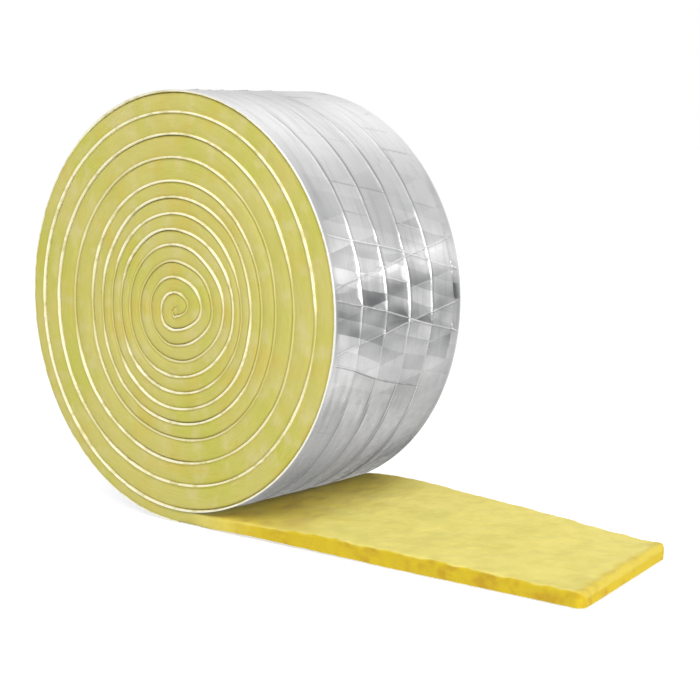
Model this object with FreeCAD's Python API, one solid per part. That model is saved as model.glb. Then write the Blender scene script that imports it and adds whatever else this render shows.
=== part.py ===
"""Foil-faced glass-wool pipe tape, wound to its centre with one loose end lying on the floor.

Two pieces, bonded face to face: a glass-wool blanket and its foil facing. The coil's axis is along
Y, and the loose end runs out along +X with the wool up and the foil under it. The functions below
draw the tape with the coil's foot at X = 0. The finished pieces are then moved along X, so that the
origin is on the floor under the middle of the whole thing.

The coil's turns are half circles that meet on the vertical line above its foot. Going inwards, each
one ends a tape thickness nearer to the middle than the turn outside it, so they make a smooth spiral.
The blanket is one solid, and a spiral seam in each of its ends shows the turns.
"""

import os

import FreeCAD
import Part

# The tape, in millimetres
TAPE_WIDTH = 76.2
FACING_THICKNESS = 0.2

# Thickness of tape in the coil, wool and facing together, where it crosses the vertical line
END_THICKNESS = 5.2        # pressed flat at the foot of the coil, and all along the loose end
RELAXED_THICKNESS = 7.8    # at the top of the outermost turn
SLACK_THICKNESS = 9.0      # in the slack outer turns
TIGHT_THICKNESS = 6.25     # in the tightly wound middle
SLACK_HALF_TURNS = 6
TIGHT_HALF_TURNS = 15
CORE_DIAMETER = 10.8       # the first half turn, closed on itself with no bore

# The loose end, cut by hand a little out of square
LOOSE_LENGTH = 190.0       # along its front edge, from the foot of the coil
CUT_OUT_OF_SQUARE = 12.0   # how much shorter the back edge is
CUT_ROUNDING = 2.0         # of the wool's corners at the cut

# The seam between turns, a slot that stands for the gap beside the facing's edge
SEAM_WIDTH = 0.6
SEAM_DEPTH = 1.5

# Not sizes of the tape
SAME_PLACE = 1e-3          # two edges nearer than this count as being in one place
MOST_ROUNDING = 0.4        # largest rounding, as a share of the wool it is cut in


def point(x, z, y=0.0):
    return FreeCAD.Vector(x, y, z)


def line(start, end):
    return Part.LineSegment(start, end).toShape()


def crossings():
    """Heights at which the turns cross the vertical line, from the outside in.

    Returns the feet, from the floor up, and the crowns, from the top down. The tape goes from
    foot 0 up the -X side to crown 0, down the +X side to foot 1, and so on to the core.
    """
    slack = [SLACK_THICKNESS] * SLACK_HALF_TURNS
    tight = [TIGHT_THICKNESS] * TIGHT_HALF_TURNS
    thicknesses = [END_THICKNESS, RELAXED_THICKNESS] + slack + tight
    feet = [0.0]
    crowns = [sum(thicknesses) + CORE_DIAMETER]
    for number, thickness in enumerate(thicknesses):
        if number % 2 == 0:
            feet.append(feet[-1] + thickness)
        else:
            crowns.append(crowns[-1] - thickness)
    return feet, crowns


def half_turn(foot, crown, side, inset=0.0):
    """Half circle from foot to crown, bulging to side (-1 or +1), moved inwards by inset."""
    middle = (foot + crown) / 2
    radius = (crown - foot) / 2 - inset
    ends = (point(0, middle - radius), point(0, middle + radius))
    return Part.Arc(ends[0], point(side * radius, middle), ends[1]).toShape()


def half_turns_inside(feet, crowns):
    """Foot, crown and side of each half turn inside the outermost whole turn."""
    turns = []
    for number in range(1, len(feet)):
        if number < len(crowns):
            turns.append((feet[number], crowns[number], -1))
            if number + 1 < len(feet):
                turns.append((feet[number + 1], crowns[number], +1))
    return turns


def prism(edges, width):
    """Solid with the closed outline that the edges make, centred on Y = 0."""
    outline = Part.Wire(Part.__sortEdges__(edges))
    solid = Part.Face(outline).extrude(FreeCAD.Vector(0, width, 0))
    solid.translate(FreeCAD.Vector(0, -width / 2, 0))
    return solid


def cut_off():
    """Solid that takes off what lies past the hand-made cut of the loose end.

    It stands a tape width out past the tape on every side, and its face on the cut goes through
    the tape's two corners there.
    """
    past = TAPE_WIDTH
    front, back = -TAPE_WIDTH / 2 - past, TAPE_WIDTH / 2 + past
    slope = CUT_OUT_OF_SQUARE / TAPE_WIDTH
    corners = [
        point(LOOSE_LENGTH + slope * past, -past, front),
        point(LOOSE_LENGTH - slope * (TAPE_WIDTH + past), -past, back),
        point(LOOSE_LENGTH + 2 * past, -past, back),
        point(LOOSE_LENGTH + 2 * past, -past, front),
    ]
    face = Part.Face(Part.makePolygon(corners + corners[:1]))
    return face.extrude(FreeCAD.Vector(0, 0, 2 * past))


def round_the_cut(wool, tape_top):
    """Rounds the wool's top edge and two upright corners at the cut of the loose end."""
    nearest_cut = LOOSE_LENGTH - CUT_OUT_OF_SQUARE
    radius = min(CUT_ROUNDING, MOST_ROUNDING * (tape_top - FACING_THICKNESS))
    at_cut = []
    for edge in wool.Edges:
        box = edge.BoundBox
        rounded = box.ZLength > tape_top / 2 or box.ZMin > tape_top - SAME_PLACE
        if rounded and box.XMin > nearest_cut - SAME_PLACE:
            at_cut.append(edge)
    return wool.makeFillet(radius, at_cut)


def glass_wool(feet, crowns):
    """The blanket: the coil as one solid, with its loose end."""
    skin = FACING_THICKNESS
    tape_top = feet[1]
    outline = [
        line(point(LOOSE_LENGTH, skin), point(0, skin)),
        half_turn(feet[0], crowns[0], -1, skin),
        half_turn(tape_top, crowns[0], +1, skin),
        line(point(0, tape_top + skin), point(0, tape_top)),
        line(point(0, tape_top), point(LOOSE_LENGTH, tape_top)),
        line(point(LOOSE_LENGTH, tape_top), point(LOOSE_LENGTH, skin)),
    ]
    wool = round_the_cut(prism(outline, TAPE_WIDTH).cut(cut_off()), tape_top)
    return wool.cut(seams(half_turns_inside(feet, crowns)))


def seams(turns):
    """The spiral slots in both ends of the coil, from the loose end's top to the core."""
    first_foot = turns[0][0]
    last_foot, last_crown, last_side = turns[-1]
    last = last_foot if last_side > 0 else last_crown
    inwards = 1 if last_side > 0 else -1
    outer = [half_turn(*turn) for turn in turns]
    inner = [half_turn(*turn, SEAM_WIDTH) for turn in turns]
    caps = [
        line(point(0, first_foot), point(0, first_foot + SEAM_WIDTH)),
        line(point(0, last), point(0, last + inwards * SEAM_WIDTH)),
    ]
    slot = prism(outer + inner + caps, SEAM_DEPTH)
    shift = FreeCAD.Vector(0, (TAPE_WIDTH - SEAM_DEPTH) / 2, 0)
    return [slot.translated(shift), slot.translated(-shift)]


def foil_facing(feet, crowns):
    """The facing on the coil's outermost turn and under the loose end, as one sheet."""
    skin = FACING_THICKNESS
    tape_top = feet[1]
    outline = [
        line(point(0, tape_top), point(0, tape_top + skin)),
        half_turn(tape_top, crowns[0], +1),
        half_turn(tape_top, crowns[0], +1, skin),
        half_turn(feet[0], crowns[0], -1),
        half_turn(feet[0], crowns[0], -1, skin),
        line(point(0, 0), point(LOOSE_LENGTH, 0)),
        line(point(0, skin), point(LOOSE_LENGTH, skin)),
        line(point(LOOSE_LENGTH, 0), point(LOOSE_LENGTH, skin)),
    ]
    return prism(outline, TAPE_WIDTH).cut(cut_off())


def main():
    os.makedirs("parts", exist_ok=True)
    feet, crowns = crossings()
    to_middle = FreeCAD.Vector((crowns[0] / 2 - LOOSE_LENGTH) / 2, 0, 0)
    pieces = {
        "glass_wool": glass_wool(feet, crowns),
        "foil_facing": foil_facing(feet, crowns),
    }
    for name, shape in pieces.items():
        shape.translate(to_middle)
        shape.exportStep(f"parts/{name}.step")
        print(name, "valid" if shape.isValid() else "NOT VALID", "solids", len(shape.Solids),
              "volume", round(shape.Volume), "faces", len(shape.Faces))
    print("coil height", crowns[0])


main()
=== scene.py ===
"""Foil-faced glass-wool pipe tape: a coil standing on its edge, with a loose end before it.

The tape is one strip. It runs from the cut of the loose end to the foot of the coil, up the -X
side, over the crown, and on round to the middle. "Along" is the distance down the strip and "turn"
the angle turned since the foot of the coil, in radians. All lengths are metres.
"""

import math

import bpy
import numpy as np
from bpy.props import FloatProperty, FloatVectorProperty, IntProperty, PointerProperty
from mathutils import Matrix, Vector


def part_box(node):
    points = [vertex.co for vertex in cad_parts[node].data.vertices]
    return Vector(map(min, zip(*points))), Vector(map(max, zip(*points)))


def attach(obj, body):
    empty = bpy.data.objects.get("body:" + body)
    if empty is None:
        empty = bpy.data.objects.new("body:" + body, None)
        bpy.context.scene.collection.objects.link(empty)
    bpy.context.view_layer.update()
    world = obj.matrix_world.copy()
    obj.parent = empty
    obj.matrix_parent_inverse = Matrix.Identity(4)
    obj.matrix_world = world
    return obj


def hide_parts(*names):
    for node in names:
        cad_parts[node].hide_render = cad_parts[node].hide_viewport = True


bl_info = {
    "name": "Foil-faced pipe tape",
    "version": (1, 0, 0),
    "blender": (4, 5, 0),
    "location": "3D View > Sidebar > Pipe Tape",
    "description": "Builds the looks of a coil of foil-faced glass-wool tape round its solid frame",
    "category": "Object",
}

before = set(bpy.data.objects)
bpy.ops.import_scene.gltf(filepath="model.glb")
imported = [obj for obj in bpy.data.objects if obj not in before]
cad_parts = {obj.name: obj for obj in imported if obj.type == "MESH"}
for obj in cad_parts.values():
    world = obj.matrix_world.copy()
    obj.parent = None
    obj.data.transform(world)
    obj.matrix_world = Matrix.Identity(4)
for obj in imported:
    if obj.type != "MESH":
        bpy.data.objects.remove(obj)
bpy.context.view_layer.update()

MM = 0.001
FACING_LOW, FACING_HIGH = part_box("foil_facing")
COIL_HEIGHT = FACING_HIGH.z
HALF_WIDTH = FACING_HIGH.y
FOOT_X = FACING_LOW.x + COIL_HEIGHT / 2
LOOSE_LENGTH = FACING_HIGH.x - FOOT_X
TURN = 2 * math.pi


# ---------------------------------------------------------------- sizes and colours

def size(name, text, millimetres):
    """A length that can be changed, given in millimetres and kept in metres."""
    return FloatProperty(name=name, description=text, default=millimetres * MM, min=0.0,
                         subtype="DISTANCE", unit="LENGTH", precision=5)


def share(name, text, value):
    """A factor from 0 to 1 that can be changed."""
    return FloatProperty(name=name, description=text, default=value, min=0.0, max=1.0,
                         subtype="FACTOR")


def to_linear(code):
    """Linear red, green, blue of an sRGB hex colour: a dark part over 12.92, and any other plus
    0.055, over 1.055, to the power 2.4."""
    parts = [int(code[i:i + 2], 16) / 255 for i in (1, 3, 5)]
    return tuple(c / 12.92 if c <= 0.04045 else ((c + 0.055) / 1.055) ** 2.4 for c in parts)


def colour(name, text, code):
    """A colour that can be changed, given as an sRGB hex code and kept linear."""
    return FloatVectorProperty(name=name, description=text, default=to_linear(code), size=3,
                               min=0.0, max=1.0, subtype="COLOR")


class TapeWinding(bpy.types.PropertyGroup):
    """How thick the tape lies where it crosses the line above the coil's foot."""
    end: size("Loose end", "Thickness of the loose end, and of the tape under the coil's foot", 5.2)
    relaxed: size("First crown", "Thickness at the top of the outermost turn", 7.8)
    slack: size("Slack turns", "Thickness in the slack outer turns", 9.0)
    tight: size("Tight turns", "Thickness in the tightly wound middle", 6.25)
    slack_count: IntProperty(name="Slack half turns", description="Half turns wound loosely",
                             default=6, min=0)
    tight_count: IntProperty(name="Tight half turns", description="Half turns wound tightly",
                             default=16, min=2)
    ripple: size("Ripple", "How far a turn wanders in or out of its arc", 0.35)
    squeeze: size("Squeeze", "How far the sides of the middle turns are pressed in", 3.3)
    bulge: size("Bulge", "How far the innermost turns bulge to the right", 2.6)
    sag: size("Sag", "How far the inner turns are pushed up from below", 1.4)
    cut_skew: size("Cut skew", "How much shorter the loose end is along its back edge", 12.0)
    rise_front: size("Rise, front", "Height at the coil of the line that the front edge falls "
                     "along. The coil's underside keeps it to about 0.7 mm", 1.5)
    rise_back: size("Rise, back", "Drop of the back edge's line over one loose end's length. The "
                    "coil's underside keeps it to about 8.4 mm", 12.5)


class WoolFinish(bpy.types.PropertyGroup):
    """The glass wool's edges and colours."""
    groove: size("Groove depth", "How far the wool draws back beside its facing", 0.9)
    groove_width: size("Groove width", "Width of the gap beside the facing", 0.45)
    recess: size("Recess", "How far the cut wool lies inside the facing's edge", 0.3)
    pillow: size("Pillow", "How far the cut wool rounds off towards the turns beside it", 0.5)
    lumps: size("Lumps", "Height of the soft lumps on the loose end", 0.35)
    base: colour("Wool", "Resin-bonded glass wool", "#d1c870")
    green: colour("Green cast", "Greenish patches in the wool", "#c6c656")
    pale: colour("Pale", "Pale patches in the wool", "#d8ce8c")
    warm: colour("Warm", "Warmer patches in the wool", "#d1bf54")
    # Lighter than the cut wool, in part painted light: the stronger light on the loose end's top
    # painted into its colour
    face: colour("Broad face", "Broad face of the loose end", "#f5e67c")
    deep: colour("Cut side", "Cut side of the loose end", "#dcc12c")
    ochre: colour("Ochre", "Brownish patches in the cut side", "#c79f2a")
    shadow: colour("Gap", "Inside the gap beside the facing", "#6f6428")


class FoilFinish(bpy.types.PropertyGroup):
    """The foil, scrim and kraft facing."""
    thickness: size("Facing thickness", "Drawn four times as thick as it is, so that its frayed "
                    "edge shows", 0.8)
    under: size("Under the loose end", "The facing pressed flat under the loose end", 0.25)
    thread_gap: size("Scrim spacing", "Between the threads that run along the tape", 14.2)
    first_thread: size("First thread", "From the middle of the tape to the nearest thread", 4.9)
    slant_gap: size("Slant spacing", "Along the tape, between aslant threads", 12.7)
    slant: share("Slant", "How far an aslant thread runs along the tape for each step across", 0.25)
    thread_width: size("Thread width", "Half width of the ridge over a thread", 0.46)
    thread_height: size("Thread height", "Height of the ridge over a thread", 0.5)
    dent: size("Dent", "How far the foil dents between the threads", 0.8)
    plain: share("Plain foil", "Share of the light colour over the dark, away from the bands", 0.46)
    # Painted highlight: bands where the foil's colour is lightened in place of reflected light
    painted_highlight: share("Bright bands", "How much brighter the foil is in its bright bands", 0.42)
    # Painted shade: bands where the foil's colour is darkened in place of shade and dark reflections
    painted_shade: share("Dull bands", "How much duller the foil is in its dull bands", 0.26)
    # Painted shade low down by the foil's back edge
    painted_shade_back: share("Dull side", "How much duller the foil is low down by its back edge", 0.50)
    # Painted reflection: each cell's random grey and the slope across it stand in for a facet's
    # reflection
    cells: share("Cells", "How much the cells between threads differ where the foil is crushed", 0.25)
    light: colour("Foil", "Bright rolled aluminium foil", "#f6f6f6")
    # This grey is painted shade and dark reflection where the bright mark is low, and the colour of
    # the rolling streaks
    dark: colour("Crushed foil", "Foil where it is creased and dull", "#5f6061")
    # Painted highlight over the threads
    ridge: colour("Ridge", "Foil stretched bright over a thread", "#f2f2f2")
    # Painted shade in the folds beside the threads
    crease: colour("Crease", "Dull foil in the fold beside a thread", "#58595a")
    kraft: colour("Kraft edge", "Cut edge of the bleached kraft paper", "#fdf8d6")
    kraft_dull: colour("Soiled edge", "Kraft edge where it is soiled with wool", "#d2c878")


class StageSettings(bpy.types.PropertyGroup):
    """Camera and floor."""
    azimuth: FloatProperty(name="Azimuth", description="Camera's turn from straight in front",
                           default=math.radians(40.0), subtype="ANGLE")
    elevation: FloatProperty(name="Elevation", description="Camera's height angle",
                             default=math.radians(7.84), subtype="ANGLE")
    distance: FloatProperty(name="Distance", description="Camera to target, in coil heights",
                            default=3.924)
    lens: FloatProperty(name="Lens", description="Focal length in millimetres", default=88.84)
    floor: colour("Floor", "Plain pale floor", "#f6f6f6")


# ---------------------------------------------------------------- noise

def hashed(i, j, k, seed):
    """Number from -1 to 1 for each whole-number place: its three parts, each times a large prime,
    are mixed by exclusive or and two rounds of multiply and shift."""
    n = (i.astype(np.uint64) * np.uint64(73856093)
         ^ j.astype(np.uint64) * np.uint64(19349663)
         ^ k.astype(np.uint64) * np.uint64(83492791)
         ^ np.uint64(seed * 2654435761)) & np.uint64(0xFFFFFFFF)
    for _ in range(2):
        n = ((n ^ (n >> np.uint64(15))) * np.uint64(2246822519)) & np.uint64(0xFFFFFFFF)
    return (n ^ (n >> np.uint64(13))).astype(float) / 0xFFFFFFFF * 2 - 1


def noise(places, grain, seed):
    """Smooth noise from -1 to 1 over places (..., 3): hashed values at the corners of cubes with
    sides of grain, blended by the smoothstep of the place within the cube."""
    scaled = places / grain + 4096
    corner = np.floor(scaled).astype(np.int64)
    within = scaled - corner
    blend = within * within * (3 - 2 * within)
    total = np.zeros(places.shape[:-1])
    for di in (0, 1):
        for dj in (0, 1):
            for dk in (0, 1):
                weight = (np.abs(1 - di - blend[..., 0]) * np.abs(1 - dj - blend[..., 1])
                          * np.abs(1 - dk - blend[..., 2]))
                total += weight * hashed(corner[..., 0] + di, corner[..., 1] + dj,
                                         corner[..., 2] + dk, seed)
    return total


def noise_along(distance, grain, seed):
    """Smooth noise along a line."""
    nought = distance * 0
    return noise(np.stack([distance, nought, nought], -1), grain, seed)


def smoothstep(low, high, value):
    """0 below low, 1 above high, and three squares less two cubes of the share between them."""
    t = np.clip((value - low) / (high - low), 0, 1)
    return t * t * (3 - 2 * t)


def bell(value, middle, width):
    """1 at the middle, falling off as e to the minus square of the distance over the width."""
    return np.exp(-((value - middle) / width) ** 2)


# ---------------------------------------------------------------- the winding

class Winding:
    """The facing's path in the XZ plane, and the tape's thickness all along it."""

    def __init__(self, settings):
        """Each half turn's radius is half of what the thicknesses before it leave of the coil's
        height, and its centre is halfway between its two ends, which go up and down by turns."""
        steps = ([settings.end, settings.relaxed] + [settings.slack] * settings.slack_count
                 + [settings.tight] * settings.tight_count)
        radii = (COIL_HEIGHT - np.concatenate([[0], np.cumsum(steps)])) / 2
        radii = radii[radii > 0]
        self.half_turns = len(radii)
        self.radii = np.concatenate([radii, np.zeros(4)])
        upward = np.where(np.arange(len(self.radii)) % 2 == 0, 1, -1)
        ends = np.concatenate([[0], np.cumsum(2 * self.radii * upward)])
        self.centres = (ends[:-1] + ends[1:]) / 2
        self.ripple, self.squeeze = settings.ripple, settings.squeeze
        self.bulge, self.sag = settings.bulge, settings.sag
        self.last_turn = self.half_turns * math.pi

    def point(self, turn):
        """x and z of the facing's outer side: half circles, each smaller than the last by a
        thickness. The sides of the middle turns are pressed in by bell curves of their radius,
        the innermost turns bulge right, and all but the outermost are pushed up at the bottom."""
        half = np.clip(np.floor(turn / math.pi + 1e-9).astype(int), 0, len(self.radii) - 1)
        radius, centre = self.radii[half], self.centres[half]
        left, bottom = np.sin(turn), np.cos(turn)
        x = -radius * left
        z = centre - radius * bottom
        inside = smoothstep(TURN, 1.5 * TURN, turn) * smoothstep(0, 10 * MM, radius)
        on_left, on_right = np.clip(left, 0, 1) ** 2, np.clip(-left, 0, 1) ** 2
        pressed_left = self.squeeze * bell(radius, 47 * MM, 14 * MM)
        pressed_right = self.squeeze * bell(radius, 58 * MM, 20 * MM)
        bulged = self.bulge * smoothstep(38 * MM, 25 * MM, radius)
        x = x + inside * (on_left * pressed_left - on_right * (pressed_right - bulged))
        z = z + inside * self.sag * np.clip(bottom, 0, 1) ** 2
        wander = noise_along(turn * 1.9, 1.0, 5) * self.ripple
        x = x - wander * inside * left
        z = z - wander * inside * bottom
        return np.stack([x + FOOT_X, z], -1)

    def turns(self, first, last, step):
        """Turn angles from first to last, about step apart along the tape and never more than an
        eighth of a radian, found by adding up how closely they have to lie."""
        fine = np.linspace(first, last, 20001)
        half = np.clip(np.floor(fine / math.pi).astype(int), 0, len(self.radii) - 1)
        density = np.maximum(self.radii[half] / step, 8)
        count = np.concatenate([[0], np.cumsum((density[1:] + density[:-1]) / 2 * np.diff(fine))])
        return np.interp(np.linspace(0, count[-1], int(count[-1]) + 2), count, fine)

    def along(self, turn):
        """Distance down the tape from the foot of the coil, by adding up short chords."""
        fine = np.linspace(0, self.last_turn + TURN, 30001)
        return np.interp(turn, fine, chords(self.point(fine)))


def chords(points):
    """Distance down a row of points, by adding up the straight steps between them."""
    steps = np.linalg.norm(np.diff(points, axis=0), axis=1)
    return np.concatenate([[0], np.cumsum(steps)])


def cut_x(y, skew):
    """Where the loose end is cut, at each y: a straight line, further out at the front."""
    return FOOT_X + LOOSE_LENGTH - skew * (y + HALF_WIDTH) / (2 * HALF_WIDTH)


# Shares of the loose end's length at which its front and back edges have come down to the floor,
# and how softly the coil's underside takes over from the straight line
FRONT_DOWN, BACK_DOWN, SOFTNESS = 0.58, 0.95, 3 * MM


def rise(out, y, winding):
    """How far the loose end stands off the floor, at a share of its length from the coil's foot.
    Its front edge falls to the floor in a straight line over its first 58 %, and its back edge over
    95 %, with straight proportion between the two. The coil's round underside presses it down: the
    lower of the line and the room under the coil, rounded where they cross by a hyperbola."""
    front = winding.rise_front * np.clip(1 - out / FRONT_DOWN, 0, 1)
    back = winding.rise_back * np.clip(BACK_DOWN - out, 0, 1)
    to_back = (y + HALF_WIDTH) / (2 * HALF_WIDTH)
    radius = (COIL_HEIGHT - winding.end) / 2
    room = radius - np.sqrt(np.maximum(radius ** 2 - (out * LOOSE_LENGTH) ** 2, 0))
    line = front + (back - front) * to_back
    return np.maximum(line + room - np.hypot(line - room, SOFTNESS), 0) / 2


# ---------------------------------------------------------------- meshes

def mesh_from_rings(name, rings, across, along, marks):
    """Closed skin over rings of points (count, round, 3), with one flat face over each end ring.

    The UV map is (distance along, distance across), and marks are named values for each point.
    """
    count, round_, _ = rings.shape
    points = rings.reshape(-1, 3)
    grid = np.arange(count * round_).reshape(count, round_)
    after = np.roll(grid, -1, axis=1)
    quads = np.stack([grid[:-1], grid[1:], after[1:], after[:-1]], -1).reshape(-1, 4)
    corners = np.concatenate([quads.ravel(), grid[0], grid[-1][::-1]])
    sides = np.concatenate([np.full(len(quads), 4), [round_, round_]])

    column = np.arange(round_)
    across = np.concatenate([across, across[-1:] + abs(across[-1] - across[-2])])
    u = np.broadcast_to(np.stack([along[:-1], along[1:], along[1:], along[:-1]], -1)[:, None],
                        (count - 1, round_, 4))
    v = np.broadcast_to(across[np.stack([column, column, column + 1, column + 1], -1)],
                        (count - 1, round_, 4))
    uv_ends = points[np.concatenate([grid[0], grid[-1][::-1]])][:, [2, 1]]
    uv = np.concatenate([np.stack([u, v], -1).reshape(-1, 2), uv_ends])

    # Twice the signed volume under the skin, which is below nought where the skin is inside out
    tri = np.concatenate([quads[:, [0, 1, 2]], quads[:, [0, 2, 3]]])
    a, b, c = (points[tri[:, i]] - points.mean(0) for i in range(3))
    if np.einsum("ij,ij->", a, np.cross(b, c)) < 0:
        starts = np.concatenate([[0], np.cumsum(sides)[:-1]])
        ends = np.repeat(starts + sides - 1, sides)
        order = ends - (np.arange(len(corners)) - np.repeat(starts, sides))
        corners, uv = corners[order], uv[order]

    mesh = bpy.data.meshes.new(name)
    mesh.vertices.add(len(points))
    mesh.vertices.foreach_set("co", points.ravel())
    mesh.loops.add(len(corners))
    mesh.loops.foreach_set("vertex_index", corners)
    mesh.polygons.add(len(sides))
    mesh.polygons.foreach_set("loop_start", np.concatenate([[0], np.cumsum(sides)[:-1]]))
    mesh.update(calc_edges=True)
    mesh.uv_layers.new(name="UVMap").data.foreach_set("uv", uv.ravel())
    for mark, values in marks.items():
        mesh.attributes.new(mark, "FLOAT", "POINT").data.foreach_set("value", values.ravel())
    mesh.shade_smooth()
    mesh.set_sharp_from_angle(angle=math.radians(55))
    piece = bpy.data.objects.new(name, mesh)
    bpy.context.scene.collection.objects.link(piece)
    return piece


def finish_piece(piece, material, slot_name, *nodes):
    """Gives a piece its material and its body, and hides the imported parts of the nodes it stands
    for; slot_name is not used.
    """
    piece.data.materials.append(material)
    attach(piece, "root")
    if nodes:
        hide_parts(*nodes)


# ---------------------------------------------------------------- the wool

# Where points lie across the cut wool, from the facing (0) to the next turn (1): close together
# beside the facing, where the wool draws back into a groove
ACROSS_CUT = np.array([0, .025, .05, .08, .12, .17, .24, .33, .43, .54, .65, .76, .86, .94, 1])


def edge_shows(turn, radius, along):
    """How plainly the facing's edge shows, from 0 to 1: most where the tape runs level and in the
    outer turns, and fading in and out in patches 40 mm long."""
    level = np.abs(np.cos(turn)) + radius / (80 * MM) - 0.85
    patches = noise_along(along, 38 * MM, 14)
    small = noise_along(along, 9 * MM, 16)
    return smoothstep(-0.25, 0.6, level + 0.75 * patches + 0.2 * small)


def cut_face_depth(across, thickness, places, wool, gap):
    """How far the cut wool lies inside the tape's edge: a groove that falls off as a bell curve
    beside the facing, a low crown between the turns, and a torn, fibrous roughness."""
    depth = wool.recess + gap * wool.groove * bell(across * thickness, 0, wool.groove_width)
    depth = depth + wool.pillow * np.abs(2 * across - 1) ** 3
    return (depth + 0.20 * MM * noise(places, 7 * MM, 11) + 0.10 * MM * noise(places, 1.6 * MM, 12))


def wool_coil(winding, settings):
    """The wound wool: rings of points carried along the winding. A ring's points lie between the
    facing's path and the same path one turn further in, in straight proportion."""
    wool, foil = settings.wool, settings.foil
    turn = winding.turns(0, winding.last_turn, 1.55 * MM)
    outer = winding.point(turn)
    inner = winding.point(turn + TURN)
    thickness = np.linalg.norm(inner - outer, axis=1)
    skin = np.minimum(foil.thickness / np.maximum(thickness, 1e-6), 0.6)
    skin = skin * np.where(turn < 0.8 * math.pi, 0.3, 1)

    count_end = len(ACROSS_CUT)
    flat = np.array([-0.97, -0.8, 0, 0.8, 0.97])
    across = np.concatenate([np.zeros(5), ACROSS_CUT, np.ones(5), ACROSS_CUT[::-1]])
    side = np.concatenate([flat, np.ones(count_end), flat[::-1], -np.ones(count_end)])
    on_cut = np.abs(side) == 1
    share_in = skin[:, None] + across * (1 - skin[:, None])
    # The wool under the outermost facing keeps clear of the dents in the foil
    clear = np.where(turn < TURN * 1.08, foil.dent + 0.9 * MM, 0)[:, None]
    sunk = np.where((across == 0) & ~on_cut, clear / np.maximum(thickness, MM)[:, None], 0)
    share_in = np.clip(share_in + sunk, 0, 1)
    xz = outer[:, None] + (inner - outer)[:, None] * share_in[..., None]
    y = np.broadcast_to(side * HALF_WIDTH, share_in.shape)
    places = np.stack([xz[..., 0], y, xz[..., 1]], -1)
    radius = np.linalg.norm(outer - [FOOT_X, COIL_HEIGHT / 2], axis=1)
    along = winding.along(turn)
    open_ = smoothstep(-0.5, 0.5, noise_along(along, 30 * MM, 15))
    gap = 0.30 + 0.70 * open_ * np.maximum(0.3, edge_shows(turn, radius, along))
    gap = np.maximum(gap, 1.35 * smoothstep(math.pi, 1.15 * math.pi, turn)
                     * smoothstep(2 * math.pi, 1.8 * math.pi, turn))
    gap = gap[:, None]
    depth = cut_face_depth(across, thickness[:, None], places, wool, gap)
    places[..., 1] = y - np.where(on_cut, side * depth, side * wool.recess)

    # Painted shade in the gap beside the facing
    groove = 0.85 * gap * bell(across * thickness[:, None], 0, 1.2 * wool.groove_width) * on_cut
    distance_across = chords(places[len(places) // 4])
    nothing = np.zeros_like(groove)
    marks = {"gap": groove, "cut": np.broadcast_to(on_cut * 1.0, groove.shape),
             "deep": nothing, "broad": nothing}
    return mesh_from_rings("glass_wool_coil", places, distance_across, along, marks)


def rounding(distance, radius):
    """How far a rounded corner has drawn in, at a distance from the end: part of a circle."""
    inside = np.clip(radius - distance, 0, radius)
    return radius - np.sqrt(radius ** 2 - inside ** 2)


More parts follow.
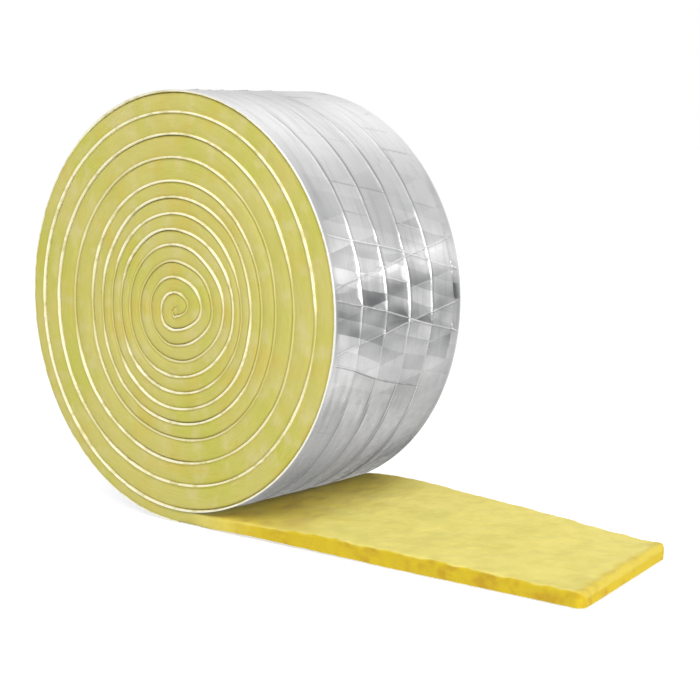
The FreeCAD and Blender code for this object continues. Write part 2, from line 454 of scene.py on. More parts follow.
def wool_loose_end(settings):
    """The loose end's wool: rings round the strip, carried from the coil's foot to the cut. Their
    top corners are quarter circles of a wandering size, and the last rings draw in along a quarter
    circle to round the two upright corners and the top edge of the cut."""
    wool, foil, winding = settings.wool, settings.foil, settings.winding
    corner, edge = 2.8 * MM, 2.2 * MM
    body = np.linspace(0, 1, 300)
    nose = corner * (1 - np.sin(np.linspace(0, math.pi / 2, 14)))
    share_along = np.concatenate([body[:-1] * (1 - corner / LOOSE_LENGTH),
                                  1 - nose / LOOSE_LENGTH])
    to_cut = (1 - share_along) * LOOSE_LENGTH

    # A ring: the underside, up the front, round its shoulder, over the top and down the back
    top = np.linspace(-1, 1, 100)[1:-1]
    under = np.linspace(-1, 1, 8)[1:-1]
    up = ACROSS_CUT
    bend = np.linspace(0, math.pi / 2, 9)[1:]
    turned = np.concatenate([np.zeros(len(under) + len(up)), bend, np.full(len(top), math.pi / 2),
                             bend[::-1], np.zeros(len(up))])
    across = np.concatenate([np.zeros(len(under)), up, np.ones(2 * len(bend) + len(top)), up[::-1]])
    side = np.concatenate([under, np.ones(len(up) + len(bend)), top[::-1],
                           -np.ones(len(bend) + len(up))])
    on_cut = (np.abs(side) == 1) & (turned == 0)
    shoulder = turned * (np.abs(side) == 1)
    out = share_along[:, None]
    away = smoothstep(0.02, 0.14, out)

    y = np.broadcast_to(side * HALF_WIDTH, (len(share_along), len(side)))
    x = FOOT_X + out * (cut_x(y, winding.cut_skew) - FOOT_X)
    flat = np.stack([x, y, x * 0], -1)
    low = foil.under
    swell = 1.4 * MM * smoothstep(0.15, 0.42, out) - 0.6 * MM * smoothstep(0.6, 0.95, out)
    high = winding.end + swell
    round_off = (1.1 + 0.35 * noise(flat * (1, 0.01, 0), 6 * MM, 21)) * MM * away + 0.05 * MM
    straight = high - round_off
    z = low + (straight - low) * across + round_off * np.sin(turned)
    drawn = round_off * (1 - np.cos(shoulder)) * (np.abs(side) == 1)
    depth = cut_face_depth(across, high, np.stack([x, y, z], -1), wool, 1 - away)
    depth = depth * (1 - away) + away * (0.35 * MM * noise(flat * (1, 0.02, 0), 9 * MM, 20) * across
                                         + 0.25 * MM * noise(np.stack([x, y, z], -1), 3 * MM, 27))
    y = y - side * np.where(on_cut, depth, drawn + depth)
    y = np.where((across == 1) & (turned == math.pi / 2) & (np.abs(side) < 1),
                 side * (HALF_WIDTH - 2.4 * MM), y)
    on_top = np.sin(turned) * smoothstep(0.10, 0.28, out)
    lumps = wool.lumps * noise(flat, 17 * MM, 22) + 0.16 * MM * noise(flat, 4 * MM, 23)
    z = z + on_top * (lumps + 0.10 * MM * noise(flat, 1.4 * MM, 24))

    draw_in = rounding(to_cut, corner)[:, None]
    y = y * (HALF_WIDTH - draw_in) / HALF_WIDTH
    z = z - rounding(to_cut, edge)[:, None] * across
    ragged = 0.3 * MM * noise(np.stack([x * 0, y, z], -1), 3 * MM, 26) * smoothstep(0.97, 1, out)
    z = z + rise(out, y, winding)
    places = np.stack([x - np.abs(ragged), y, z], -1)

    # Painted shade in the gap beside the facing, near the coil
    groove = 0.5 * bell(across * high, 0, 1.2 * wool.groove_width) * on_cut * (1 - away)
    near_cut = smoothstep(0.968, 0.992, out + 0.010 * noise(flat, 7 * MM, 30))
    edge_line = 0.7 + 0.45 * noise(flat * (1, 0.02, 0), 5 * MM, 28)
    side_part = smoothstep(edge_line + 0.25, edge_line - 0.25, shoulder)
    side_part = side_part * (np.abs(side) == 1) * smoothstep(0.03, 0.26, out)
    streaks = noise(flat * (0.25, 1, 1), 5 * MM, 29)
    # Painted shade: the deep yellow laid over the loose end's top beside the coil's foot, where the
    # coil shades it
    painted_nip_shade = smoothstep(0.44, 0.18, out + 0.05 * streaks) * (0.80 + 0.2 * streaks)
    deep = np.maximum(np.maximum(side_part, 0.7 * near_cut), painted_nip_shade * away * np.sin(turned))
    distance_across = chords(places[len(places) // 2])
    shape = groove.shape
    marks = {"gap": groove, "cut": np.broadcast_to(on_cut * 1.0, shape),
             "deep": np.broadcast_to(deep, shape), "broad": np.broadcast_to(away * 1.0, shape)}
    return mesh_from_rings("glass_wool_loose_end", places, distance_across,
                           -share_along * LOOSE_LENGTH, marks)


# ---------------------------------------------------------------- the facing

def threads_near(along, y, foil):
    """The scrim at distances along and across the tape. One family of threads runs along it and
    two cross it aslant, both ways, at even spacings that smooth noise lets wander. For each family:
    which gap between threads a point is in, how far it is from the nearest thread, with a sign,
    and which thread that is."""
    place = np.stack([along, y, along * 0], -1)
    steep = math.cos(math.atan(foil.slant))
    wander = 0.9 * MM * noise(place * (0.5, 0.05, 1), 22 * MM, 34)
    families = {
        "long": ((y - foil.first_thread + wander) / foil.thread_gap, foil.thread_gap),
        "rising": ((along + foil.slant * y + 1.6 * MM * noise(place, 34 * MM, 35)) / foil.slant_gap,
                   foil.slant_gap * steep),
        "falling": ((along - foil.slant * y + 1.6 * MM * noise(place, 30 * MM, 36))
                    / foil.slant_gap + 0.31, foil.slant_gap * steep),
    }
    return {name: (np.floor(count).astype(np.int64) + 4096, (count - np.round(count)) * gap,
                   np.round(count).astype(np.int64) + 4096)
            for name, (count, gap) in families.items()}


# Bands of painted highlight and of painted shade round the coil, in place of the metal's bright and
# dark reflections: middle and width of a bell curve, in half turns from the foot, and strength
PAINTED_HIGHLIGHT_BANDS = ((1.17, 0.10, 1.0), (1.43, 0.03, 0.7), (1.71, 0.05, 0.4))
PAINTED_SHADE_BANDS = ((1.50, 0.05, 1.0), (1.95, 0.18, 0.7))


def bands(halves, table):
    """The sum of a table's bell curves, each times its strength."""
    return sum(strength * bell(halves, middle, width) for middle, width, strength in table)


def facing_relief(along, y, turn, foil):
    """Height of the foil above its path, with its tone and its ridge and crease marks, which carry
    painted highlights and painted shade.

    The foil is drawn down between the threads, by a depth that levels off away from them. Each
    thread is a ridge with a bell-curve section and a shallower crease along one side of it, marked
    for a painted highlight over the ridge and painted shade in the crease. Each cell between threads
    has its own hashed brightness, greys painted in for the facets' differing reflections. The dents
    are deepest on the right of the coil, with a weaker band on the left, and the cells and the
    aslant threads show most there. The foil is pressed flat at the foot, where the coil stands on it.
    """
    along, y, turn = np.broadcast_arrays(along, y, turn)
    near = threads_near(along, y, foil)
    place = np.stack([along, y, along * 0], -1)
    on_right = bell(turn, 1.475 * math.pi, 0.36)
    on_left = 0.7 * bell(turn, 0.45 * math.pi, 0.6)
    crushed = 0.16 + 0.84 * np.maximum(on_right, on_left)
    inside = smoothstep(0, 4 * MM, HALF_WIDTH - np.abs(y))

    height, ridge, crease = np.zeros(y.shape), np.zeros(y.shape), np.zeros(y.shape)
    nearest = np.full(y.shape, 1.0)
    gap_across = near["long"][0]
    for number, (name, (cell, off, thread)) in enumerate(near.items()):
        wave = noise(place * (0.5, 0.3, 1) + number, 14 * MM, 40 + number)
        if name == "long":
            # The threads along the tape all but go just past the crown, and then come back
            fade = smoothstep(1.02, 1.16, turn / math.pi) + (turn < math.pi)
            shows = np.clip(0.75 + 0.55 * wave, 0.2, 1) * (0.3 + 0.7 * fade)
            shows = shows * smoothstep(5 * MM, 9 * MM, HALF_WIDTH - np.abs(y))
            width = foil.thread_width * (1.05 + 0.45 * wave)
            ridge_highlight_share = smoothstep(-0.10, 0.30, noise(place * (0.6, 1, 1), 15 * MM, 61))
        else:
            piece = (0.6 * hashed(thread, thread * 0 + number, thread * 0, 37)
                     + 0.3 * hashed(thread, gap_across + number, thread * 0, 38) + 0.4 * wave)
            calm = 0.80 * (1 - crushed)
            shows = smoothstep(-0.35 + calm, 0.3 + calm, piece) * np.clip(0.3 + crushed, 0, 1)
            width = foil.thread_width * 0.55
            ridge_highlight_share = smoothstep(0.25, 0.7, crushed)
        over = bell(off, 0, width) * shows
        fold = bell(off, 1.5 * width, 1.3 * width) * shows
        # The ridge mark is a painted highlight over a thread, and the crease mark painted shade in
        # the fold beside it
        ridge = np.maximum(ridge, over * (0.2 + 0.6 * ridge_highlight_share))
        crease = np.maximum(crease, fold * (1 - 0.5 * ridge_highlight_share))
        height = np.maximum(height, over)
        nearest = np.minimum(nearest, np.abs(off) / MM / 4 + 1 - shows)
    height = (foil.thread_height * height - 0.6 * foil.thread_height * crease
              - foil.dent * crushed * smoothstep(0, 1, nearest))
    height = height + 0.40 * MM * crushed * noise(place, 9 * MM, 43)
    height = (height + 0.10 * MM * noise(place * (0.6, 1, 1), 3 * MM, 44)) * inside
    pressed = 1 - smoothstep(0.04, 0.12, np.abs(turn) / math.pi)
    height = height - pressed * np.maximum(height, 0)

    # A cell's brightness, with a slope across it, and finer crumples within: greys painted in for the
    # facets' differing reflections
    cell = hashed(near["long"][0] * 31 + near["rising"][0], near["falling"][0], gap_across, 33)
    slope = hashed(near["long"][0], near["falling"][0], near["rising"][0], 39)
    cell = cell + 1.4 * slope * near["falling"][1] / foil.slant_gap
    cell = cell + 0.7 * noise(place * (1, 0.7, 1), 6 * MM, 45)
    broad = noise(place * (0.5, 1, 1), 24 * MM, 46)
    # Round the coil the foil keeps one plain brightness, but for the bands of painted highlight and
    # painted shade, and for a patch of painted shade low down by the back edge
    halves = turn / math.pi
    level = (foil.plain + foil.painted_highlight * bands(halves, PAINTED_HIGHLIGHT_BANDS)
             - foil.painted_shade * bands(halves, PAINTED_SHADE_BANDS)
             - foil.painted_shade_back * bell(halves, 1.78, 0.16) * smoothstep(-0.6 * HALF_WIDTH, HALF_WIDTH, y))
    bright = level + foil.cells * cell * np.maximum(crushed - 0.12, 0) * inside + 0.10 * broad
    marks = {"bright": np.clip(bright, 0, 1), "ridge": ridge * inside,
             "crease": 0.85 * crease * inside}
    return height, marks


def thread_columns(foil, wide, close):
    """Places across the tape: wide apart, and close together over each thread along it."""
    lines = foil.first_thread + np.arange(-4, 4) * foil.thread_gap
    lines = lines[np.abs(lines) < HALF_WIDTH - 3 * MM]
    over = (lines[:, None] + np.arange(-7, 7) * close).ravel()
    rest = np.linspace(-HALF_WIDTH, HALF_WIDTH, int(2 * HALF_WIDTH / wide))
    rest = rest[np.abs(rest[:, None] - over).min(1) > 0.7 * close]
    return np.sort(np.concatenate([over, rest]))


def facing_sheet(xz, normal, along, turn, settings, columns, thickness, edge_in, flat=False):
    """A stretch of facing as a closed sheet: its outer side with the relief, half circles round
    its two edges, and its inner side with a few columns of the same relief.

    The normal points away from the wool, and edge_in is how far the edges lie inside the tape's.
    """
    foil = settings.foil
    height, marks = facing_relief(along[:, None], columns[None, :], turn[:, None], foil)
    if flat:
        height = np.minimum(height - foil.thread_height, 0) * 0.4
    bend = np.linspace(0, math.pi, 7)[1:-1]
    radius = thickness / 2
    back = np.linspace(len(columns) - 1, 0, 12).astype(int)
    source = np.concatenate([np.arange(len(columns)), np.full(len(bend), len(columns) - 1), back,
                             np.zeros(len(bend), int)])
    down = np.concatenate([np.zeros(len(columns)), radius * (1 - np.cos(bend)),
                           np.full(len(back), thickness), radius * (1 - np.cos(bend[::-1]))])
    beyond = np.concatenate([np.zeros(len(columns)), 0.6 * radius * np.sin(bend),
                             np.zeros(len(back)), -0.6 * radius * np.sin(bend)])
    rim = np.concatenate([np.zeros(len(columns)), [0, 0, 1, 1, 1], np.ones(len(back)),
                          [1, 1, 1, 0, 0]])
    y = columns[source] * (1 - edge_in[:, None] / HALF_WIDTH) + beyond
    offset = height[:, source] - down
    points = xz[:, None] + normal[:, None] * offset[..., None]
    rings = np.stack([points[..., 0], y, points[..., 1]], -1)
    across = chords(rings[0])
    carried = {mark: values[:, source] for mark, values in marks.items()}
    carried["rim"] = np.broadcast_to(rim, offset.shape)
    # A painted highlight along the foil's front and back edges, carried by the ridge mark
    painted_edge_highlight = smoothstep(0.9 * MM, 0.2 * MM, HALF_WIDTH - np.abs(columns[source]))
    carried["ridge"] = np.maximum(carried["ridge"], 0.6 * painted_edge_highlight)
    carried["soiled"] = np.zeros(offset.shape)
    return rings, across, carried


def coil_facing(winding, settings, name, first, last, stations):
    """The facing of part of the outermost turn. On the left its edges lie back behind the wool."""
    turn = np.linspace(first * math.pi, last * math.pi, stations)
    xz = winding.point(turn)
    normal = np.stack([-np.sin(turn), -np.cos(turn)], -1)
    along = winding.along(turn)
    columns = thread_columns(settings.foil, 0.8 * MM, 0.28 * MM)
    edge_in = 0.9 * MM * smoothstep(0.95 * math.pi, 0.7 * math.pi, turn)
    rings, across, marks = facing_sheet(xz, normal, along, turn, settings, columns,
                                        settings.foil.thickness, edge_in)
    return mesh_from_rings(name, rings, across, along, marks)


def loose_end_facing(settings):
    """The facing under the loose end, from the cut to the foot of the coil. It follows the wool's
    rise, and its edges lie a little inside the wool's."""
    foil, skew = settings.foil, settings.winding.cut_skew
    share_out = np.linspace(1, 0, 340)
    columns = thread_columns(foil, 0.95 * MM, 0.3 * MM)
    xz = np.stack([FOOT_X + share_out * (LOOSE_LENGTH - 1.2 * MM), share_out * 0], -1)
    normal = np.stack([share_out * 0, share_out * 0 - 1], -1)
    along = -share_out * LOOSE_LENGTH
    rings, across, marks = facing_sheet(xz, normal, along, 0 * along + 0.3, settings, columns,
                                        foil.under, 0 * along + 1.1 * MM, flat=True)
    cut = (cut_x(rings[..., 1], skew) - FOOT_X) / LOOSE_LENGTH
    rings[..., 0] = FOOT_X + (rings[..., 0] - FOOT_X) * cut
    rings[..., 2] += rise(share_out[:, None], rings[..., 1], settings.winding)
    return mesh_from_rings("foil_facing_loose_end", rings, across, along, marks)


def inner_facing(winding, settings):
    """The facing of all the inner turns: a plain sheet along the winding, which shows only its two
    spiral edges. They come nearly to the tape's edge where they show, and lie 0.6 mm inside it
    where they don't."""
    foil = settings.foil
    turn = winding.turns(1.04 * TURN, winding.last_turn - 0.35 * math.pi, 1.6 * MM)
    xz = winding.point(turn)
    radius = np.linalg.norm(xz - [FOOT_X, COIL_HEIGHT / 2], axis=1)
    along = winding.along(turn)
    shows = edge_shows(turn, radius, along)
    normal = np.stack([-np.sin(turn), -np.cos(turn)], -1)
    bend = np.linspace(0, math.pi, 7)[1:-1]
    thickness = foil.thickness
    side = np.concatenate([[-1, -0.33, 0.33, 1], np.ones(5), [1, 0.33, -0.33, -1], -np.ones(5)])
    down = np.concatenate([np.zeros(4), thickness / 2 * (1 - np.cos(bend)), np.full(4, thickness),
                           thickness / 2 * (1 - np.cos(bend[::-1]))])
    beyond = np.concatenate([np.zeros(4), np.sin(bend), np.zeros(4), np.sin(bend)]) * 0.3 * thickness
    proud = (0.9 * shows - 1.0) * 0.6 * MM
    y = side * (HALF_WIDTH + proud[:, None] + beyond)
    rings = np.stack([xz[:, :1] - normal[:, :1] * down, y, xz[:, 1:] - normal[:, 1:] * down], -1)
    fray = 0.10 * MM * noise(rings, 3.5 * MM, 51)
    rings[..., 1] += np.sign(side) * np.where(np.abs(side) == 1, fray, 0)
    across = chords(rings[0])
    ones = np.ones(rings.shape[:2])
    soiled = np.broadcast_to(1 - shows[:, None], ones.shape)
    marks = {"bright": ones * 0.5, "ridge": ones * 0, "crease": ones * 0, "rim": ones,
             "soiled": soiled}
    return mesh_from_rings("foil_facing_inner_turns", rings, across, along, marks)


# ---------------------------------------------------------------- materials

def add_node(tree, kind, inputs, output=0, **settings):
    """Adds a node with its settings, links or sets its inputs, and returns one of its outputs."""
    node = tree.nodes.new(kind)
    for name, value in settings.items():
        setattr(node, name, value)
    for socket, value in inputs.items():
        if isinstance(value, bpy.types.NodeSocket):
            tree.links.new(value, node.inputs[socket])
        else:
            node.inputs[socket].default_value = value
    return node.outputs[output] if node.outputs else None


def new_material(name):
    """An empty material and its node tree."""
    material = bpy.data.materials.new(name)
    material.use_nodes = True
    material.node_tree.nodes.clear()
    return material, material.node_tree


def rgba(rgb):
    """A colour with full cover."""
    return (*rgb, 1.0)


def glass_wool_material(wool):
    """Resin-bonded glass wool: dead matt, softly mottled in green, pale and warm yellow, and
    fibrous, with its fibres lying flat in layers along the tape."""
    material, tree = new_material("resin_bonded_glass_wool")
    place = add_node(tree, "ShaderNodeTexCoord", {}, "Object")
    strip = add_node(tree, "ShaderNodeUVMap", {}, uv_map="UVMap")
    marks = {name: add_node(tree, "ShaderNodeAttribute", {}, "Fac", attribute_name=name)
             for name in ("gap", "cut", "deep", "broad")}

    # Blotches about 25, 17, 9 and 8 mm across
    spots = {name: add_node(tree, "ShaderNodeTexNoise",
                            {"Vector": place, "Scale": scale, "Detail": detail})
             for name, scale, detail in (("large", 40, 3), ("middling", 60, 2), ("small", 110, 4),
                                         ("binder", 120, 3))}
    # Each colour is laid over the one before it where the blotches' noise passes a limit
    tints = {}
    for part, first, layers in (
            ("cut", wool.base, (("large", 0.42, 0.66, 0.80, wool.green),
                                ("small", 0.48, 0.70, 0.75, wool.pale),
                                ("middling", 0.50, 0.70, 0.60, wool.warm))),
            ("broad", wool.face, (("small", 0.40, 0.66, 0.25, wool.warm),
                                  ("large", 0.45, 0.66, 0.18, wool.green))),
            ("deep", wool.deep, (("binder", 0.46, 0.68, 0.80, wool.ochre),))):
        tints[part] = rgba(first)
        for spot, low, high, most, over in layers:
            amount = add_node(tree, "ShaderNodeMapRange",
                              {"Value": spots[spot], "From Min": low, "From Max": high,
                               "To Max": most}, interpolation_type="SMOOTHSTEP")
            tints[part] = add_node(tree, "ShaderNodeMix",
                                   {0: amount, 6: tints[part], 7: rgba(over)}, 2, data_type="RGBA")
    # Away from the coil the loose end takes the lighter broad-face tint, in part painted light from
    # above
    tint = add_node(tree, "ShaderNodeMix", {0: marks["broad"], 6: tints["cut"], 7: tints["broad"]},
                    2, data_type="RGBA")

    # Fibres: streaks half a millimetre across and 3 to 8 long, drawn far coarser than the real
    # ones so that they show. On the cut they lie along the tape, and on the broad face they cross.
    fibres = []
    for stretch, turned in (((120, 1900, 1), 0), ((300, 1700, 1), 0.9), ((300, 1700, 1), -0.8)):
        stretched = add_node(tree, "ShaderNodeMapping",
                             {"Vector": strip, "Rotation": (0, 0, turned), "Scale": stretch})
        fibres.append(add_node(tree, "ShaderNodeTexNoise",
                               {"Vector": stretched, "Scale": 1, "Detail": 3}))
    web = add_node(tree, "ShaderNodeMath", {0: fibres[1], 1: fibres[2]}, operation="MAXIMUM")
    fibre = add_node(tree, "ShaderNodeMix", {0: marks["cut"], 2: web, 3: fibres[0]})
    for low, high, over in ((0.35, 0.7, wool.pale), (0.5, 0.3, wool.ochre)):
        amount = add_node(tree, "ShaderNodeMapRange",
                          {"Value": fibre, "From Min": low, "From Max": high, "To Max": 0.14},
                          interpolation_type="SMOOTHSTEP")
        tint = add_node(tree, "ShaderNodeMix", {0: amount, 6: tint, 7: rgba(over)}, 2,
                        data_type="RGBA")
    # The deep mark lays on the cut side's colour, and beside the coil's foot it is painted shade; the
    # gap mark lays painted shade into the gap beside the facing
    for mark, over in (("deep", tints["deep"]), ("gap", rgba(wool.shadow))):
        tint = add_node(tree, "ShaderNodeMix", {0: marks[mark], 6: tint, 7: over}, 2,
                        data_type="RGBA")

    bump = add_node(tree, "ShaderNodeBump", {"Height": fibre, "Strength": 0.5,
                                             "Distance": 0.35 * MM})
    shader = add_node(tree, "ShaderNodeBsdfPrincipled",
                      {"Base Color": tint, "Normal": bump, "Roughness": 0.95,
                       "Specular IOR Level": 0.2, "Sheen Weight": 0.08})
    add_node(tree, "ShaderNodeOutputMaterial", {"Surface": shader})
    return material


def foil_material(foil):
    """Aluminium foil laminated over a glass scrim to kraft paper: rolled metal with rolling streaks,
    with highlights and shade painted into its colour in bands round the coil, greys painted in for
    its facets' reflections, a painted highlight over the threads and painted shade in the folds
    beside them, and a cream paper edge that is soiled with wool in places."""
    material, tree = new_material("foil_scrim_kraft_laminate")
    strip = add_node(tree, "ShaderNodeUVMap", {}, uv_map="UVMap")
    place = add_node(tree, "ShaderNodeTexCoord", {}, "Object")
    marks = {name: add_node(tree, "ShaderNodeAttribute", {}, "Fac", attribute_name=name)
             for name in ("bright", "crease", "ridge", "rim", "soiled")}

    # The tone between the two greys follows the bright mark: painted highlight and shade bands and
    # painted facet greys
    metal = add_node(tree, "ShaderNodeMix",
                     {0: marks["bright"], 6: rgba(foil.dark), 7: rgba(foil.light)}, 2,
                     data_type="RGBA")
    # Soft streaks along the tape 3 mm across, and rolling marks a quarter as wide
    for stretch, high, most in (((30, 330, 1), 0.72, 0.16), ((60, 1300, 1), 0.75, 0.08)):
        stretched = add_node(tree, "ShaderNodeMapping", {"Vector": strip, "Scale": stretch})
        streaks = add_node(tree, "ShaderNodeTexNoise",
                           {"Vector": stretched, "Scale": 1, "Detail": 3})
        amount = add_node(tree, "ShaderNodeMapRange",
                          {"Value": streaks, "From Min": 0.5, "From Max": high, "To Max": most},
                          interpolation_type="SMOOTHSTEP")
        metal = add_node(tree, "ShaderNodeMix", {0: amount, 6: metal, 7: rgba(foil.dark)}, 2,
                         data_type="RGBA")
    # Painted shade in the folds beside the threads, then a painted highlight over them
    for mark, over in (("crease", foil.crease), ("ridge", foil.ridge)):
        metal = add_node(tree, "ShaderNodeMix", {0: marks[mark], 6: metal, 7: rgba(over)}, 2,
                         data_type="RGBA")

    # The paper's edge, with patches of dirt about 5 mm across
    patches = add_node(tree, "ShaderNodeTexNoise", {"Vector": place, "Scale": 220, "Detail": 3})
    dirt = add_node(tree, "ShaderNodeMapRange",
                    {"Value": patches, "From Min": 0.46, "From Max": 0.70, "To Max": 0.7},
                    interpolation_type="SMOOTHSTEP")
    dirt = add_node(tree, "ShaderNodeMath", {0: dirt, 1: marks["soiled"]}, operation="MAXIMUM")
    paper = add_node(tree, "ShaderNodeMix",
                     {0: dirt, 6: rgba(foil.kraft), 7: rgba(foil.kraft_dull)}, 2, data_type="RGBA")

    # Crinkles about 3 mm across, and finer ones under a millimetre
    crinkle = add_node(tree, "ShaderNodeTexNoise", {"Vector": strip, "Scale": 320, "Detail": 4})
    fine = add_node(tree, "ShaderNodeTexNoise", {"Vector": strip, "Scale": 1400, "Detail": 2})
    relief = add_node(tree, "ShaderNodeMath", {0: fine, 1: 0.12, 2: crinkle},
                      operation="MULTIPLY_ADD")
    bump = add_node(tree, "ShaderNodeBump", {"Height": relief, "Strength": 0.28,
                                             "Distance": 0.25 * MM})
    rough = add_node(tree, "ShaderNodeMapRange",
                     {"Value": crinkle, "From Min": 0.3, "From Max": 0.7, "To Min": 0.26,
                      "To Max": 0.40}, interpolation_type="SMOOTHSTEP")
    foil_side = add_node(tree, "ShaderNodeBsdfPrincipled",
                         {"Base Color": metal, "Normal": bump, "Roughness": rough, "Metallic": 1.0})
    paper_side = add_node(tree, "ShaderNodeBsdfPrincipled",
                          {"Base Color": paper, "Roughness": 0.8, "Specular IOR Level": 0.25})
    both = add_node(tree, "ShaderNodeMixShader", {0: marks["rim"], 1: foil_side, 2: paper_side})
    add_node(tree, "ShaderNodeOutputMaterial", {"Surface": both})
    return material


def material_once(name, make):
    """The material of that name, made the first time it is asked for."""
    return bpy.data.materials.get(name) or make()


def wool_material(settings):
    """The one wool material that both wool pieces share."""
    return material_once("resin_bonded_glass_wool", lambda: glass_wool_material(settings.wool))


def facing_material(settings):
    """The one laminate material that all pieces of facing share."""
    return material_once("foil_scrim_kraft_laminate", lambda: foil_material(settings.foil))


# ---------------------------------------------------------------- operators

class PIPETAPE_OT_wool_coil(bpy.types.Operator):
    """Build the wound glass wool"""
    bl_idname = "pipetape.wool_coil"
    bl_label = "Wool Coil"

    def execute(self, context):
        settings = context.scene.pipe_tape
        piece = wool_coil(Winding(settings.winding), settings)
        finish_piece(piece, wool_material(settings), "glass_wool", "glass_wool")
        return {"FINISHED"}


class PIPETAPE_OT_wool_loose_end(bpy.types.Operator):
    """Build the glass wool of the loose end"""
    bl_idname = "pipetape.wool_loose_end"
    bl_label = "Wool Loose End"

    def execute(self, context):
        settings = context.scene.pipe_tape
        piece = wool_loose_end(settings)
        finish_piece(piece, wool_material(settings), "glass_wool", "glass_wool")
        # Kept out of reflections, so that the coil's foil stays a neutral grey above it. In real
        # light the foil would pick up some of the wool's yellow there.
        piece.visible_glossy = False
        return {"FINISHED"}


class PIPETAPE_OT_facing(bpy.types.Operator):
    """Build the foil facing of the coil and of the loose end"""
    bl_idname = "pipetape.facing"
    bl_label = "Foil Facing"

    def execute(self, context):
        settings = context.scene.pipe_tape
        winding = Winding(settings.winding)
        material = facing_material(settings)
        under = loose_end_facing(settings)
        under.visible_glossy = False
        for piece in (coil_facing(winding, settings, "foil_facing_left", 0, 1.27, 470),
                      coil_facing(winding, settings, "foil_facing_right", 1.27, 1.63, 500),
                      coil_facing(winding, settings, "foil_facing_foot", 1.63, 2.12, 420),
                      under, inner_facing(winding, settings)):
            finish_piece(piece, material, "foil_facing", "foil_facing")
        return {"FINISHED"}


class PIPETAPE_OT_stage(bpy.types.Operator):
    """Build the floor, the light and the camera"""
    bl_idname = "pipetape.stage"
    bl_label = "Stage"

    def execute(self, context):
        stage = context.scene.pipe_tape.stage
        add_floor(stage)
        add_light()
        add_camera(stage)
        context.scene.view_settings.view_transform = "Standard"
        return {"FINISHED"}


# The world's light on things, how much the floor is lifted where it is seen straight, and the round
# lamps: name, place in metres, width in metres and power in watts
WORLD_LIGHT, FLOOR_LIFT = 0.56, 0.52
LAMPS = (("overhead", (0.6, -1.0, 1.4), 1.2, 11.8), ("low_right", (1.5, -0.45, 0.45), 0.9, 9.8))


def add_floor(stage):
    """A plain matt floor a hair below the tape, which keeps the tape's shadow."""
    half, drop = 6.0, 0.3 * MM
    mesh = bpy.data.meshes.new("floor")
    mesh.from_pydata([(-half, -half, -drop), (half, -half, -drop), (half, half, -drop),
                      (-half, half, -drop)], [], [(0, 1, 2, 3)])
    floor = bpy.data.objects.new("floor", mesh)
    bpy.context.scene.collection.objects.link(floor)
    material, tree = new_material("pale_floor")
    matt = add_node(tree, "ShaderNodeBsdfPrincipled",
                    {"Base Color": rgba(stage.floor), "Roughness": 0.9, "Specular IOR Level": 0.0})
    # What the floor lacks of white far from the lamps, for the eye and for reflections only
    lack = add_node(tree, "ShaderNodeMapRange",
                    {"Value": seen_directly(tree), "To Max": FLOOR_LIFT})
    lift = add_node(tree, "ShaderNodeEmission", {"Strength": lack})
    both = add_node(tree, "ShaderNodeAddShader", {0: matt, 1: lift})
    add_node(tree, "ShaderNodeOutputMaterial", {"Surface": both})
    mesh.materials.append(material)


def seen_directly(tree):
    """1 for the camera's own rays and for those that metal or glass sends on, 0 for the others."""
    rays = [add_node(tree, "ShaderNodeLightPath", {}, f"Is {kind} Ray")
            for kind in ("Camera", "Glossy", "Transmission")]
    sent_on = add_node(tree, "ShaderNodeMath", {0: rays[1], 1: rays[2]}, operation="MAXIMUM")
    return add_node(tree, "ShaderNodeMath", {0: rays[0], 1: sent_on}, operation="MAXIMUM")


def add_light():
    """A pale world, white where it is seen straight or in the metal, and two broad round lamps, one
    overhead and one low on the right, both aimed at the tape."""
    world = bpy.data.worlds.new("studio")
    bpy.context.scene.world = world
    world.use_nodes = True
    tree = world.node_tree
    tree.nodes.clear()
    strength = add_node(tree, "ShaderNodeMapRange",
                        {"Value": seen_directly(tree), "To Min": WORLD_LIGHT, "To Max": 1.0})
    light = add_node(tree, "ShaderNodeBackground", {"Strength": strength, "Color": (1, 1, 1, 1)})
    add_node(tree, "ShaderNodeOutputWorld", {"Surface": light})

    for name, place, width, power in LAMPS:
        lamp = bpy.data.lights.new(name, "AREA")
        lamp.shape = "DISK"
        lamp.size = width
        lamp.energy = power
        holder = bpy.data.objects.new(name, lamp)
        holder.location = place
        aim = Vector((0, 0, 0.05)) - holder.location
        holder.rotation_euler = aim.to_track_quat("-Z", "Y").to_euler()
        bpy.context.scene.collection.objects.link(holder)


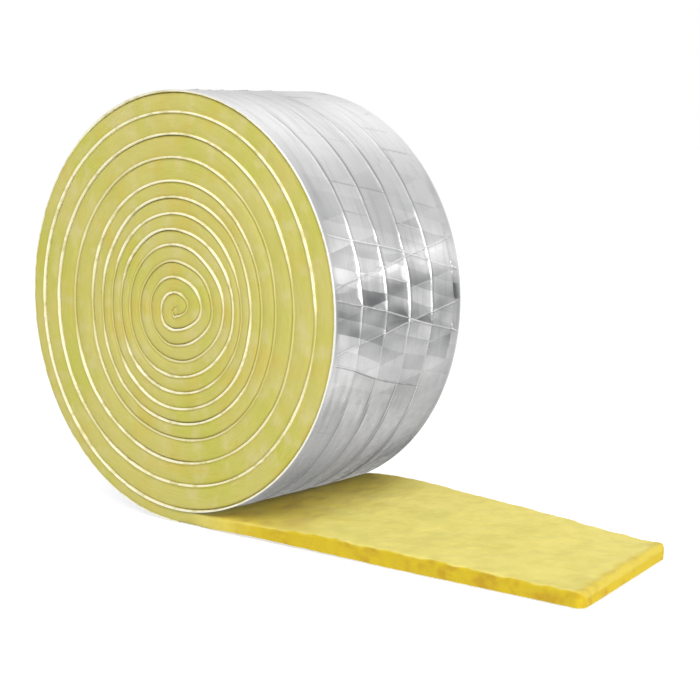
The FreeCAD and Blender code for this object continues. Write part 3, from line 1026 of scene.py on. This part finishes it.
def add_camera(stage):
    """Camera that looks at a point a third of the coil's height in front of its foot."""
    target = Vector((FOOT_X + 0.338 * COIL_HEIGHT, 0, 0.414 * COIL_HEIGHT))
    level = math.cos(stage.elevation)
    back = Vector((math.sin(stage.azimuth) * level, -math.cos(stage.azimuth) * level,
                   math.sin(stage.elevation)))
    data = bpy.data.cameras.new("camera")
    data.lens = stage.lens
    camera = bpy.data.objects.new("camera", data)
    camera.location = target + back * stage.distance * COIL_HEIGHT
    camera.rotation_euler = (-back).to_track_quat("-Z", "Y").to_euler()
    bpy.context.scene.collection.objects.link(camera)
    bpy.context.scene.camera = camera


class PIPETAPE_PT_panel(bpy.types.Panel):
    """Lists the pieces and their sizes"""
    bl_idname = "PIPETAPE_PT_panel"
    bl_label = "Pipe Tape"
    bl_space_type = "VIEW_3D"
    bl_region_type = "UI"
    bl_category = "Pipe Tape"

    def draw(self, context):
        settings = context.scene.pipe_tape
        for operator in STEPS:
            self.layout.operator(operator.bl_idname)
        for group in ("winding", "wool", "foil", "stage"):
            box = self.layout.box()
            chosen = getattr(settings, group)
            for name in chosen.bl_rna.properties.keys():
                if name not in ("rna_type", "name"):
                    box.prop(chosen, name)


class PipeTapeSettings(bpy.types.PropertyGroup):
    """All the sizes and colours that can be changed."""
    winding: PointerProperty(type=TapeWinding)
    wool: PointerProperty(type=WoolFinish)
    foil: PointerProperty(type=FoilFinish)
    stage: PointerProperty(type=StageSettings)


STEPS = (PIPETAPE_OT_wool_coil, PIPETAPE_OT_wool_loose_end, PIPETAPE_OT_facing,
         PIPETAPE_OT_stage)
CLASSES = (TapeWinding, WoolFinish, FoilFinish, StageSettings, PipeTapeSettings, *STEPS,
           PIPETAPE_PT_panel)


def register():
    """Registers the classes and hangs the settings on the scene."""
    for cls in CLASSES:
        bpy.utils.register_class(cls)
    bpy.types.Scene.pipe_tape = PointerProperty(type=PipeTapeSettings)


def unregister():
    """Takes the settings and the classes off again."""
    del bpy.types.Scene.pipe_tape
    for cls in reversed(CLASSES):
        bpy.utils.unregister_class(cls)


def main():
    register()
    bpy.ops.pipetape.wool_coil()
    bpy.ops.pipetape.wool_loose_end()
    bpy.ops.pipetape.facing()
    bpy.ops.pipetape.stage()


if __name__ == "__main__":
    main()
